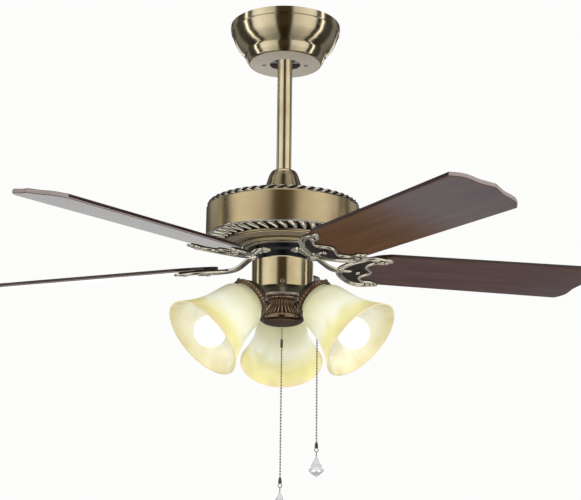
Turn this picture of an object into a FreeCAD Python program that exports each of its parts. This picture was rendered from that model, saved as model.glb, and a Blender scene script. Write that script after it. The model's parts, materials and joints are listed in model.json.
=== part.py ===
"""Ceiling fan with a three-lamp light kit, hung from the ceiling on a downrod.

Millimetres, +Z up. The origin is the middle of the ceiling bracket's top face, so the whole fan
is below z = 0. Azimuth 0 is +X, and the front of the fan faces -Y.
"""

import FreeCAD
import Part
import math
import os

V = FreeCAD.Vector
ORIGIN = V(0, 0, 0)
AXIS_X = V(1, 0, 0)
AXIS_Y = V(0, 1, 0)
AXIS_Z = V(0, 0, 1)

# Driving heights
blade_z = -413.0  # middle of the blades
ball_z = -38.0  # centre of the hanger ball
motor_top = blade_z + 91.0
motor_bottom = blade_z + 41.0
kit_top = blade_z  # top of the switch housing
kit_bottom = blade_z - 46.0

# Canopy and hanger
canopy_radius = 93.0
canopy_step_radius = 71.5
canopy_base_radius = 60.0
canopy_height = 67.0
canopy_hole_radius = 26.0
sheet = 1.2  # wall of every spun or pressed brass part
plate = 2.5  # wall of the steel bracket
ball_radius = 27.0
seat_gap = 0.08  # running clearance of the ball in its saddle
slot_pitch = 88.9
slot_length = 16.0
slot_width = 5.5
saddle_top = ball_z - 12.0
saddle_half_length = 50.0
canopy_screw_x = 35.5

# Downrod and coupling
rod_radius = 12.5
rod_wall = 2.0
rod_top = ball_z + 20.0
rod_bottom = motor_top + 24.0
pin_radius = 3.0
pin_length = 38.0
yoke_radius = 17.5
yoke_top = motor_top + 54.0
yoke_pin_z = motor_top + 39.0
yoke_floor = motor_top + 18.0
yoke_flange_radius = 36.0
cover_top = motor_top + 66.0
slip = 0.15  # loose fit between parts that are pinned together

# Motor
motor_radius = 127.0
shaft_radius = 7.5
shaft_bore = 4.5
bearing_outer = 17.5
bearing_width = 11.0
rotor_radius = 92.0
rotor_top = motor_top - 5.0
rotor_bottom = motor_top - 46.0
rotor_wall = 3.0
stator_radius = 58.0
stator_height = 13.0
stator_slots = 16
air_gap = 0.6
louvre_count = 42
louvre_slant = -33.0
louvre_inner = 97.2
neck_radius = 41.0
flange_radius = 58.0
flange_top = blade_z + 20.0
flange_bottom = blade_z + 13.0
neck_bottom = blade_z + 3.0

# Blades and irons
blade_count = 5
first_blade = 13.5  # azimuth of blade 1
blade_pitch = -12.4
blade_thickness = 6.5
blade_tip = 533.0
blade_corner = 506.5
blade_tip_width = 121.0
blade_root = 172.0
blade_root_width = 108.0
iron_thickness = 3.0
iron_border = 3.0
iron_screw_u = 50.0
iron_pad_z = flange_bottom - 4.0

# Light kit
kit_radius = 50.4
shade_count = 3
first_shade = -30.0  # azimuth of shade 1
shade_tilt = 42.0  # how far a shade's axis dips below horizontal
shade_reach = 143.1  # fan axis to the middle of a shade's mouth
shade_z = blade_z - 139.0
bell_rim = kit_bottom - 46.0
finial_tip = kit_bottom - 59.5
glass = 3.0
cup_depth = 131.0  # mouth of the shade to the back of its holder

# Pull chains
chain_radius = 1.6
fan_chain_azimuth = 15.0
fan_chain_reach = 59.5
guide_z = kit_top - 32.0  # where the fan's chain leaves the switch housing
pendant_length = 31.0

parts = {}


def turned(points):
    """A solid of revolution about Z from a closed outline of (radius, height)."""
    outline = [V(radius, 0, height) for radius, height in points]
    face = Part.Face(Part.makePolygon(outline + outline[:1]))
    return face.revolve(ORIGIN, AXIS_Z, 360)


def turned_curve(outer, inner):
    """A turned shell between two smooth curves, joined by straight ends."""
    curves = []
    for line in (outer, inner):
        spline = Part.BSplineCurve()
        spline.interpolate([V(radius, 0, height) for radius, height in line])
        curves.append(spline.toShape())
    start = Part.makeLine(V(inner[0][0], 0, inner[0][1]), V(outer[0][0], 0, outer[0][1]))
    end = Part.makeLine(V(outer[-1][0], 0, outer[-1][1]), V(inner[-1][0], 0, inner[-1][1]))
    wire = Part.Wire(Part.__sortEdges__([start, curves[0], end, curves[1]]))
    return Part.Face(wire).revolve(ORIGIN, AXIS_Z, 360)


def disc(radius, bottom, top, x=0.0, y=0.0):
    return Part.makeCylinder(radius, top - bottom, V(x, y, bottom))


def tube(outer, inner, bottom, top):
    return disc(outer, bottom, top).cut(disc(inner, bottom - 1, top + 1))


def block(x_size, y_size, bottom, top, x=0.0, y=0.0):
    return Part.makeBox(x_size, y_size, top - bottom, V(x - x_size / 2, y - y_size / 2, bottom))


def turn(shape, azimuth):
    moved = shape.copy()
    moved.rotate(ORIGIN, AXIS_Z, azimuth)
    return moved


def around(shape, count, first=0.0):
    """Copies of a shape spaced evenly round the fan's axis."""
    return [turn(shape, first + 360.0 * i / count) for i in range(count)]


def keep(name, *shapes):
    parts[name] = shapes[0] if len(shapes) == 1 else Part.makeCompound(list(shapes))


def pan_screw(head_radius, head_height, shank_radius, shank_length):
    """A screw pointing up +Z, its head's seat at z = 0 and its head below."""
    shank = disc(shank_radius, 0, shank_length)
    head = disc(head_radius, -head_height, 0)
    head = head.makeFillet(head_height * 0.6, [head.Edges[2]])
    drive = block(head_radius * 1.3, 0.8, -head_height, -head_height * 0.5)
    return head.fuse(shank).cut(drive)


# --- Hanger -----------------------------------------------------------------------------------


def ceiling_bracket():
    bar = block(36, 122, -plate, 0).fuse(block(2 * saddle_half_length, 40, -plate, 0))
    saddle = block(2 * saddle_half_length, 60, saddle_top - plate, saddle_top)
    bracket = bar.fuse(saddle)
    for side in (-1, 1):
        leg = block(plate, 32, saddle_top - plate, 0, side * (saddle_half_length - plate / 2))
        bracket = bracket.fuse(leg)
        for end in (-1, 1):
            centre = slot_pitch / 2 + end * (slot_length - slot_width) / 2
            bracket = bracket.cut(disc(slot_width / 2, -plate - 1, 1, 0, side * centre))
        straight = slot_length - slot_width
        bracket = bracket.cut(block(slot_width, straight, -plate - 1, 1, 0, side * slot_pitch / 2))
    bracket = bracket.cut(Part.makeSphere(ball_radius + seat_gap, V(0, 0, ball_z)))
    return bracket.removeSplitter()


def canopy():
    band = 11.0
    step_z = -48.0
    outer = [(canopy_radius, 0), (canopy_radius, -band)]
    outer += [(91.3, -band - 1.2), (89.2, -19), (84.2, -31), (77.6, -41)]
    outer += [(canopy_step_radius, step_z), (69, step_z - 2), (66.4, -58)]
    outer += [(canopy_base_radius + 2, -65.5), (canopy_base_radius, -canopy_height)]
    outer += [(canopy_hole_radius, -canopy_height)]
    inner = [(radius - sheet, height) for radius, height in outer[:-3]]
    inner += [(canopy_base_radius + 0.6, 1.2 - 65.5), (canopy_base_radius - 0.6, sheet - canopy_height)]
    inner += [(canopy_hole_radius, sheet - canopy_height)]
    return turned(outer + inner[::-1])


def hanger_ball():
    ball = Part.makeSphere(ball_radius, V(0, 0, ball_z))
    ball = ball.common(disc(ball_radius + 1, ball_z - 20, ball_z + 20))
    return ball.cut(disc(rod_radius + slip, ball_z - 30, ball_z + 30))


def cross_pin(height):
    return Part.makeCylinder(pin_radius, pin_length, V(0, -pin_length / 2, height), AXIS_Y)


def downrod():
    return tube(rod_radius, rod_radius - rod_wall, rod_bottom, rod_top)


def motor_yoke():
    bore = rod_radius + slip
    bottom = motor_top
    return turned(
        [
            (shaft_radius, bottom),
            (yoke_flange_radius, bottom),
            (yoke_flange_radius, bottom + 5),
            (yoke_radius + 4, bottom + 7),
            (yoke_radius, bottom + 14),
            (yoke_radius, yoke_top),
            (bore, yoke_top),
            (bore, yoke_floor),
            (shaft_radius, yoke_floor),
        ]
    )


def yoke_cover():
    outer = [(13.2, cover_top), (16.6, cover_top), (20, cover_top - 1.8)]
    outer += [(22.8, cover_top - 5.5), (25.4, cover_top - 12), (28.4, cover_top - 22)]
    outer += [(32.2, cover_top - 34), (36.6, cover_top - 49), (41, motor_top + 0.1)]
    inner = [(radius - sheet, height) for radius, height in outer[3:]]
    inner = [(13.2, cover_top - sheet), (16, cover_top - sheet), (18.8, cover_top - 2.8)] + inner
    return turned(outer + inner[::-1])


def wire_route(side):
    """One lead: out of the rod's top, over the hanger ball and down to its connector."""
    start = V(side * 3, 0, rod_top - 6)
    over = V(side * 3, side * 10, rod_top + 6)
    down = V(side * 3, side * 30, rod_top + 2)
    spline = Part.BSplineCurve()
    spline.interpolate([start, over, down, V(side * 3, side * 36, rod_top - 10)])
    wire = Part.Wire(spline.toShape())
    section = Part.Wire(Part.makeCircle(1.4, start, spline.tangent(0)[0]))
    return wire.makePipeShell([section], True, True)


def wire_connector(side):
    cap = turned([(0, 0), (3.2, 0), (4.8, -3), (5.4, -14), (1.6, -14), (1.6, -6), (0, -6)])
    cap.rotate(ORIGIN, AXIS_X, 180)
    cap.translate(V(side * 3, side * 36.6, rod_top - 24))
    return cap


# --- Motor ------------------------------------------------------------------------------------


def motor_housing():
    corner = 3.0
    wall = motor_radius - sheet
    side = [(motor_radius - corner, motor_top), (motor_radius - 1, motor_top - 1)]
    side += [(motor_radius, motor_top - corner), (motor_radius, motor_bottom)]
    inside = [(wall, motor_bottom), (wall, motor_top - corner), (wall - 2, motor_top - sheet)]
    hub = shaft_radius + slip
    return turned([(hub, motor_top), *side, *inside, (hub, motor_top - sheet)])


def upper_rope_trim():
    rope = 3.2
    return Part.makeTorus(motor_radius - 4.4, rope, V(0, 0, motor_top + rope + 0.1))


def lower_vent_ring():
    rim = motor_radius - sheet - slip
    ring = turned(
        [
            (rim, motor_bottom + 4),
            (rim, motor_bottom),
            (rim - 3, motor_bottom - 2),
            (118.5, motor_bottom - 1),
            (louvre_inner, motor_bottom - 7.5),
            (louvre_inner, motor_bottom - 5.5),
            (118.5, motor_bottom + 1),
            (rim - 1.4, motor_bottom + 4),
        ]
    )
    slot = block(17, 7, motor_bottom - 14, motor_bottom + 6)
    slot.rotate(ORIGIN, AXIS_Z, louvre_slant)
    slot.translate(V(108, 0, 0))
    return ring.cut(Part.makeCompound(around(slot, louvre_count)))


def lower_trim_ring():
    top = motor_bottom - 7
    return turned(
        [
            (louvre_inner - 0.2, top),
            (louvre_inner - 0.2, top - 3),
            (93, top - 5),
            (84, top - 6),
            (78, top - 6.4),
            (76, top - 9),
            (69, top - 11.5),
            (62, top - 11.5),
            (62, top - 12.5),
            (52, top - 12.5),
            (52, top - 10.5),
            (72, top - 8.5),
            (75, top - 4.5),
            (90, top - 2.5),
            (91, top),
        ]
    )


def motor_shaft():
    return tube(shaft_radius, shaft_bore, kit_top - 12, yoke_floor)


def bearing_heights():
    return (rotor_top - bearing_width - 1, rotor_bottom + 1)


def bearing_inner_ring(bottom):
    return tube(10.2, shaft_radius, bottom, bottom + bearing_width)


def bearing_outer_ring(bottom):
    """The outer race with its nine balls, which turn with the rotor."""
    race = tube(bearing_outer, 14.8, bottom, bottom + bearing_width)
    ball = Part.makeSphere(2.25, V(12.5, 0, bottom + bearing_width / 2))
    return [race, *around(ball, 9)]


def stator_core():
    middle = (rotor_top + rotor_bottom) / 2
    low = middle - stator_height / 2
    core = tube(stator_radius, shaft_radius, low, low + stator_height)
    tooth_gap = block(15, 5.5, low - 1, low + stator_height + 1, 42)
    mouth = block(12, 2, low - 1, low + stator_height + 1, 54)
    return core.cut(Part.makeCompound(around(tooth_gap.fuse(mouth), stator_slots)))


def stator_windings():
    """Two rings of end turns, above and below the core."""
    middle = (rotor_top + rotor_bottom) / 2
    rings = []
    for side in (-1, 1):
        ring = Part.makeTorus(42, 4.5, V(0, 0, middle + side * (stator_height / 2 + 4.6)))
        rings.append(ring)
    return rings


def rotor_upper_shell():
    wall = rotor_radius - rotor_wall
    split = (rotor_top + rotor_bottom) / 2 + 4
    boss_low = rotor_top - bearing_width - 2
    return turned(
        [
            (12, rotor_top),
            (70, rotor_top),
            (rotor_radius - 6, rotor_top - 5),
            (rotor_radius, rotor_top - 11),
            (rotor_radius, split),
            (wall, split),
            (wall, rotor_top - 12),
            (69, rotor_top - rotor_wall),
            (22, rotor_top - rotor_wall),
            (22, boss_low),
            (bearing_outer, boss_low),
            (bearing_outer, rotor_top - 1),
            (12, rotor_top - 1),
        ]
    )


def rotor_lower_shell():
    wall = rotor_radius - rotor_wall
    split = (rotor_top + rotor_bottom) / 2 + 4
    boss_top = rotor_bottom + bearing_width + 2
    return turned(
        [
            (wall, split),
            (rotor_radius, split),
            (rotor_radius, rotor_bottom + 11),
            (rotor_radius - 6, rotor_bottom + 5),
            (76, rotor_bottom),
            (38, rotor_bottom),
            (38, flange_top + 9),
            (12, flange_top + 9),
            (12, rotor_bottom + 1),
            (bearing_outer, rotor_bottom + 1),
            (bearing_outer, boss_top),
            (22, boss_top),
            (22, rotor_bottom + rotor_wall),
            (75, rotor_bottom + rotor_wall),
            (wall, rotor_bottom + 12),
        ]
    )


def rotor_ring():
    middle = (rotor_top + rotor_bottom) / 2
    low = middle - stator_height / 2
    return tube(rotor_radius - rotor_wall, stator_radius + air_gap, low, low + stator_height)


def flywheel():
    top = flange_top + 9
    return turned(
        [
            (18, top),
            (neck_radius, top),
            (neck_radius, flange_top),
            (flange_radius, flange_top),
            (flange_radius, flange_bottom),
            (neck_radius, flange_bottom),
            (neck_radius, neck_bottom),
            (18, neck_bottom),
        ]
    )


# --- Blades -----------------------------------------------------------------------------------


def on_blade(shape, azimuth):
    """From a blade's own frame (X outward, Y across, Z up through it) to the fan's."""
    moved = shape.copy()
    moved.rotate(ORIGIN, AXIS_X, blade_pitch)
    moved.translate(V(0, 0, blade_z))
    return turn(moved, azimuth)


def mirrored_outline(half):
    """A closed outline from its half with y >= 0, listed from the middle outward and back."""
    other = [(x, -y) for x, y in half[::-1] if y > 0]
    return [V(x, y, 0) for x, y in half + other]


def flipped(points):
    """The points mirrored across the blade's middle line."""
    return [V(point.x, -point.y, 0) for point in points]


def smooth_edge(points):
    spline = Part.BSplineCurve()
    spline.interpolate(points)
    return spline.toShape()


def blade():
    half_root = blade_root_width / 2
    half_tip = blade_tip_width / 2
    crest = blade_tip - blade_corner
    root = [V(122, 12, 0), V(134, 33, 0), V(150, 46.5, 0), V(blade_root, half_root, 0)]
    corner = V(blade_corner, half_tip, 0)
    bracket = [(0.44, 0.32), (0.36, 0.58), (0.28, 0.66), (0.18, 0.70), (0.08, 0.86), (0, 1)]
    tip = [V(blade_corner + crest * rise, blade_tip_width * across, 0) for across, rise in bracket]
    side = [root[-1], corner]
    end = [corner, *tip]
    edges = [smooth_edge(root), smooth_edge(flipped(root))]
    edges += [Part.makeLine(*side), Part.makeLine(*flipped(side))]
    edges += [smooth_edge(end), smooth_edge(flipped(end))]
    edges.append(Part.makeLine(root[0], *flipped(root[:1])))
    wire = Part.Wire(Part.__sortEdges__(edges))
    solid = Part.Face(wire).extrude(V(0, 0, blade_thickness))
    solid.translate(V(0, 0, -blade_thickness / 2))
    return solid


def blade_screw_places():
    return ((128, 0), (157, 43.5), (157, -43.5))


def iron_face(inset):
    """The medallion's outline, drawn in by inset all round."""
    half = [(150, 0), (136, 20), (146, 35), (163, 37.5), (168.5, 43.5), (163, 49.5)]
    half += [(142, 52.5), (122, 43), (106, 27), (94, 9)]
    face = Part.Face(Part.makePolygon(mirrored_outline(half) + [V(150, 0, 0)]))
    return face.makeOffset2D(-inset) if inset else face


def iron_medallion():
    """A cast plate with a raised border, under the blade's root."""
    top = -blade_thickness / 2
    base = iron_face(0).extrude(V(0, 0, -iron_thickness - iron_border))
    recess = iron_face(3.5).extrude(V(0, 0, -iron_border - 1))
    recess.translate(V(0, 0, -iron_thickness))
    cast = base.cut(recess)
    for u, v in blade_screw_places():
        cast = cast.fuse(disc(5.5, -iron_thickness - iron_border, -0.5, u, v))
    cast.translate(V(0, 0, top))
    return cast


def iron_arm():
    """The curved arm, from the pad under the flywheel down to the medallion."""
    rise = iron_pad_z + 2 - blade_z
    path = smooth_edge(
        [V(58, 0, rise), V(66, 0, rise - 5), V(76, 0, -1), V(88, 0, -5.8), V(103, 0, -6.4)]
    )
    width, thickness = 15.0, 5.0
    corners = [(-width / 2, -thickness / 2), (width / 2, -thickness / 2)]
    corners += [(width / 2, thickness / 2), (-width / 2, thickness / 2)]
    section = Part.makePolygon([V(58, y, rise + z) for y, z in corners + corners[:1]])
    arm = Part.Wire(path).makePipeShell([section], True, True)
    pad = block(15.5, 22, rise - 2, rise + 2, 50.8)
    return pad.fuse(arm)


def blade_screws(azimuth):
    head_seat = -blade_thickness / 2 - iron_thickness - iron_border
    screw = pan_screw(3.8, 2.0, 2.0, 9.0)
    made = []
    for u, v in blade_screw_places():
        placed = screw.copy()
        placed.translate(V(u, v, head_seat))
        made.append(on_blade(placed, azimuth))
    return made


def iron_screws(azimuth):
    screw = pan_screw(3.6, 2.2, 2.2, 9.0)
    made = []
    for side in (-1, 1):
        placed = screw.copy()
        placed.translate(V(iron_screw_u, side * 6, iron_pad_z))
        made.append(turn(placed, azimuth))
    return made


def blade_iron(azimuth):
    arm = iron_arm()
    arm.translate(V(0, 0, blade_z))
    return turn(arm, azimuth).fuse(on_blade(iron_medallion(), azimuth))


# --- Switch housing and light kit --------------------------------------------------------------


def switch_housing():
    inside = kit_radius - sheet
    shell = turned(
        [
            (42, kit_top + 0.5),
            (kit_radius - 1.5, kit_top + 0.5),
            (kit_radius, kit_top - 1),
            (kit_radius, kit_bottom),
            (inside, kit_bottom),
            (inside, kit_top - 0.7),
            (42, kit_top - 0.7),
        ]
    )
    eyelet = Part.makeCylinder(3.4, 20, V(40, 0, guide_z), AXIS_X)
    return shell.cut(turn(eyelet, fan_chain_azimuth))


def switch_plate():
    return turned(
        [
            (shaft_radius, kit_top - 0.8),
            (kit_radius - sheet - slip, kit_top - 0.8),
            (kit_radius - sheet - slip, kit_top - 8),
            (kit_radius - sheet - 2, kit_top - 8),
            (kit_radius - sheet - 2, kit_top - 3),
            (shaft_radius, kit_top - 3),
        ]
    )


def shaft_nut():
    hexagon = [
        V(12 * math.cos(math.radians(60 * i)), 12 * math.sin(math.radians(60 * i)), kit_top - 10)
        for i in range(7)
    ]
    body = Part.Face(Part.makePolygon(hexagon)).extrude(V(0, 0, 7))
    return body.cut(disc(shaft_radius, kit_top - 20, kit_top))


def radial_screws(height, reach, count):
    """Screws pointing at the fan's axis, heads outside the switch housing."""
    screw = pan_screw(3.2, 1.8, 1.8, 5.0)
    screw.rotate(ORIGIN, AXIS_Y, -90)
    screw.translate(V(reach, 0, height))
    return around(screw, count)


def fan_speed_switch():
    body = disc(10, kit_top - 42, kit_top - 24, 26, 7)
    stem = disc(4.5, kit_top - 24, kit_top - 19, 26, 7)
    return body.fuse(stem)


def capacitor():
    box = block(34, 16, kit_top - 38, kit_top - 14, -4, 27)
    return box.makeFillet(2, box.Edges)


def light_kit_fitter():
    """The cap that closes the switch housing, with one boss for each shade holder."""
    inside = kit_radius - sheet - slip
    cap = turned(
        [
            (14, kit_bottom + 2),
            (inside - 1.5, kit_bottom + 2),
            (inside - 1.5, kit_bottom + 8),
            (inside, kit_bottom + 8),
            (inside, kit_bottom),
            (44, kit_bottom - 4),
            (36, kit_bottom - 9.5),
            (29, kit_bottom - 11),
            (14, kit_bottom - 11),
        ]
    )
    boss = tilted(disc(9, cup_depth, cup_depth + 14), 0)
    boss = boss.cut(disc(2 * kit_radius, kit_bottom, kit_top))
    boss = boss.cut(disc(20, kit_bottom - 20, kit_top))
    cap = cap.fuse(around(boss, shade_count, first_shade))
    return cap.removeSplitter()


def tilted(shape, azimuth):
    """From a shade's own frame (origin in its mouth, Z along its axis to its back) to the fan's."""
    moved = shape.copy()
    moved.rotate(ORIGIN, AXIS_Y, shade_tilt - 90)
    moved.translate(V(shade_reach, 0, shade_z))
    return turn(moved, azimuth)


def shade_holder():
    outer = [(0, cup_depth), (17, cup_depth), (21, cup_depth - 3), (26.5, cup_depth - 9)]
    outer += [(29.6, cup_depth - 15), (31, 112), (33, 111), (33.6, 109), (32.8, 107)]
    inner = [(30.6, 107), (30.2, 112), (28.5, cup_depth - 15)]
    inner += [(25.4, cup_depth - 8.5), (20, cup_depth - 3.6), (16.6, cup_depth - 2), (0, cup_depth - 2)]
    return turned(outer + inner)


def shade_screws():
    screw = Part.makeCylinder(1.6, 5, V(28.8, 0, 114), AXIS_X)
    head = Part.makeCylinder(2.6, 2, V(33.4, 0, 114), AXIS_X)
    return around(screw.fuse(head), 3)


def lamp_socket():
    floor = cup_depth - 2
    return turned([(0, floor), (16, floor), (16, 83), (15, 80), (13.4, 80), (13.4, 105), (0, 105)])


def bulb():
    """Frosted globe on a screw base, which fills the socket."""
    centre, radius = 18.0, 25.0
    globe = Part.makeSphere(radius, V(0, 0, centre))
    neck_start = centre + radius * math.sin(math.radians(48))
    start_radius = radius * math.cos(math.radians(48))
    neck = turned(
        [
            (0, neck_start - 4),
            (start_radius + 3.2, neck_start - 4),
            (start_radius, neck_start),
            (14, 62),
            (13.8, 79),
            (13.2, 79.5),
            (13.2, 103),
            (6, 104.5),
            (0, 104.5),
        ]
    )
    return globe.fuse(neck)


def glass_outline():
    """Outer curve of the bell, from the mouth to the collar, as (radius, depth)."""
    mouth = [(70.8, 0), (66.6, 7), (60.0, 19), (53.4, 34), (48.2, 49)]
    return mouth + [(44.8, 65), (42.4, 80), (39.6, 92), (34.6, 100), (29.6, 104.5), (28.4, 112)]


def glass_shade():
    outer = glass_outline()
    inner = [(70.8 - glass, -0.6), (63.8, 6.4), (57.2, 18), (50.6, 33), (45.4, 48), (42, 64)]
    inner += [(39.4, 79), (36.6, 90), (31.8, 97), (26.6, 102), (25.4, 112)]
    return turned_curve(outer, inner)


def fluted_bell():
    top = kit_bottom - 11
    shell = turned(
        [
            (28, top),
            (28.6, top - 1.5),
            (26, top - 3.4),
            (20.6, top - 6.5),
            (19, top - 11),
            (20.6, top - 17),
            (25, top - 24),
            (31, top - 30),
            (35.2, top - 33.4),
            (36, bell_rim),
            (33, bell_rim),
            (28, top - 30),
            (22, top - 24),
            (17.8, top - 17),
            (16.4, top - 11),
            (18, top - 5.8),
            (23.4, top - 1.8),
            (25, top),
        ]
    )
    groove = Part.makeCylinder(1.0, 13, V(22, 0, top - 18.6), V(6, 0, -6))
    return shell.cut(Part.makeCompound(around(groove, 24)))


def finial():
    top = bell_rim - 0.1
    return turned(
        [
            (2.2, top - 4),
            (24, top - 3),
            (31.5, top),
            (36, top),
            (36.2, top - 2.2),
            (34.4, top - 5.2),
            (30.5, top - 8),
            (24.5, top - 10.2),
            (16.5, top - 11.9),
            (8, top - 12.9),
            (5, finial_tip),
            (2.2, finial_tip),
        ]
    )


def light_pull_switch():
    low = kit_bottom - 37
    return disc(13, low, low + 22).fuse(disc(5, low - 3, low))


def fan_chain_guide():
    """A bent sleeve that turns the chain down outside the switch housing."""
    height = guide_z
    bend = 6.0
    inner_end = kit_radius - 4
    bend_start = V(fan_chain_reach - bend, 0, height)
    middle = V(fan_chain_reach - bend * (1 - math.sqrt(0.5)), 0, height - bend * (1 - math.sqrt(0.5)))
    bend_end = V(fan_chain_reach, 0, height - bend)
    path = Part.Wire(
        [
            Part.makeLine(V(inner_end, 0, height), bend_start),
            Part.Arc(bend_start, middle, bend_end).toShape(),
            Part.makeLine(bend_end, V(fan_chain_reach, 0, kit_top - 50)),
        ]
    )
    rings = [Part.Wire(Part.makeCircle(r, V(inner_end, 0, height), AXIS_X)) for r in (3.4, 2.2)]
    outer, inner = [path.makePipeShell([ring], True, True) for ring in rings]
    return turn(outer.cut(inner), fan_chain_azimuth)


# --- Pull chains ------------------------------------------------------------------------------


def chain_fittings(exit_z, end_z):
    """Connector below the exit, bell on the last bead, then a ring and a wire link."""
    sleeve = tube(2.1, chain_radius + 0.05, exit_z - 35, exit_z - 22)
    bore = chain_radius + 0.05
    bell = turned(
        [
            (bore, end_z + 3),
            (2.1, end_z + 3),
            (2.6, end_z - 1),
            (3.0, end_z - 5),
            (0, end_z - 5),
            (0, end_z - 0.05),
            (bore, end_z - 0.05),
        ]
    )
    ring = Part.makeTorus(3.0, 0.6, V(0, 0, end_z - 8.65), AXIS_Y)
    link = disc(0.7, end_z - 20, end_z - 12.3)
    return [sleeve, bell, ring, link]


def pendant(top_z):
    """A faceted crystal drop, eight-sided."""
    sections = []
    levels = ((0, 2.2), (12, 8.2), (21.5, 13.4), (pendant_length, 1.6))
    for level, (drop, radius) in enumerate(levels):
        corners = []
        for i in range(9):
            angle = math.radians(45 * i + 22.5 * (level % 2))
            corners.append(V(radius * math.cos(angle), radius * math.sin(angle), top_z - drop))
        sections.append(Part.makePolygon(corners))
    return Part.makeLoft(sections, True, True)


def pull_chain(name, exit_z, start_z, end_z, azimuth, reach):
    nodes = {
        f"{name}_pull_chain": [disc(chain_radius, end_z, start_z)],
        f"{name}_chain_fittings": chain_fittings(exit_z, end_z),
        f"{name}_chain_pendant": [pendant(end_z - 20.05)],
    }
    for node, shapes in nodes.items():
        for shape in shapes:
            shape.translate(V(reach, 0, 0))
        keep(node, *[turn(shape, azimuth) for shape in shapes])


# --- Assembly ---------------------------------------------------------------------------------


def build_hanger():
    canopy_screw = pan_screw(3.6, 2.2, 2.0, canopy_height - 48.5)
    canopy_screw.translate(V(canopy_screw_x, 0, -canopy_height))
    screws = around(canopy_screw, 2)
    keep("canopy_screws", *screws)
    keep("ceiling_bracket", ceiling_bracket().cut(Part.makeCompound(screws)))
    keep("canopy", canopy().cut(Part.makeCompound(screws)))
    pins = [cross_pin(ball_z + 8), cross_pin(yoke_pin_z)]
    keep("downrod_pins", *pins)
    keep("hanger_ball", hanger_ball().cut(pins[0]))
    keep("downrod", downrod().cut(Part.makeCompound(pins)))
    keep("motor_yoke", motor_yoke().cut(pins[1]))
    keep("yoke_cover", yoke_cover())
    leads = [wire_route(side) for side in (-1, 1)]
    connectors = [wire_connector(side) for side in (-1, 1)]
    keep("lead_wires", *leads, *connectors)


def build_motor():
    keep("motor_housing", motor_housing())
    keep("upper_rope_trim", upper_rope_trim())
    keep("lower_vent_ring", lower_vent_ring())
    keep("lower_trim_ring", lower_trim_ring())
    keep("motor_shaft", motor_shaft())
    keep("bearing_inner_rings", *[bearing_inner_ring(z) for z in bearing_heights()])
    outer_rings = [bearing_outer_ring(z) for z in bearing_heights()]
    keep("bearing_outer_rings", *[piece for ring in outer_rings for piece in ring])
    keep("stator_core", stator_core())
    keep("stator_windings", *stator_windings())
    keep("rotor_upper_shell", rotor_upper_shell())
    keep("rotor_lower_shell", rotor_lower_shell())
    keep("rotor_ring", rotor_ring())


def build_blades():
    azimuths = [first_blade + 360.0 * i / blade_count for i in range(blade_count)]
    all_iron_screws = []
    all_blade_screws = []
    for number, azimuth in enumerate(azimuths, 1):
        pad_screws = iron_screws(azimuth)
        tail_screws = blade_screws(azimuth)
        cutter = Part.makeCompound(pad_screws + tail_screws)
        keep(f"blade_iron_{number}", blade_iron(azimuth).cut(cutter))
        keep(f"blade_{number}", on_blade(blade(), azimuth).cut(Part.makeCompound(tail_screws)))
        all_iron_screws += pad_screws
        all_blade_screws += tail_screws
    keep("flywheel", flywheel().cut(Part.makeCompound(all_iron_screws)))
    keep("iron_screws", *all_iron_screws)
    keep("blade_screws", *all_blade_screws)


def build_light_kit():
    screws = radial_screws(kit_top - 41, kit_radius, 4)
    cutter = Part.makeCompound(screws)
    keep("switch_housing", switch_housing().cut(cutter))
    keep("light_kit_fitter", light_kit_fitter().cut(cutter))
    keep("switch_housing_screws", *screws)
    keep("switch_plate", switch_plate())
    keep("shaft_nut", shaft_nut())
    keep("fan_speed_switch", fan_speed_switch())
    keep("capacitor", capacitor())
    keep("fluted_bell", fluted_bell())
    keep("finial", finial())
    keep("light_pull_switch", light_pull_switch())
    keep("fan_chain_guide", fan_chain_guide())
    grips = shade_screws()
    holder = shade_holder().cut(Part.makeCompound(grips))
    holders = []
    sockets = []
    thumbscrews = []
    for i in range(shade_count):
        azimuth = first_shade + 360.0 * i / shade_count
        holders.append(tilted(holder, azimuth))
        sockets.append(tilted(lamp_socket(), azimuth))
        thumbscrews += [tilted(grip, azimuth) for grip in grips]
        keep(f"bulb_{i + 1}", tilted(bulb(), azimuth))
        keep(f"glass_shade_{i + 1}", tilted(glass_shade(), azimuth))
    keep("shade_holders", *holders)
    keep("lamp_sockets", *sockets)
    keep("shade_thumbscrews", *thumbscrews)


def build_chains():
    pull_chain("light", finial_tip, finial_tip + 12, finial_tip - 246, 0, 0)
    fan_exit = kit_top - 50
    pull_chain("fan", fan_exit, fan_exit + 10, fan_exit - 244, fan_chain_azimuth, fan_chain_reach)


build_hanger()
build_motor()
build_blades()
build_light_kit()
build_chains()
os.makedirs("parts", exist_ok=True)
for node, shape in parts.items():
    shape.exportStep(f"parts/{node}.step")
print(len(parts), "nodes")
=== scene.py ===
"""Looks of the ceiling fan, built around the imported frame.

Sizes are in millimetres until MM scales them. Z is up, and the front of the fan faces -Y.
"""

import bpy
import json
import math
from mathutils import Matrix, Vector

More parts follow.
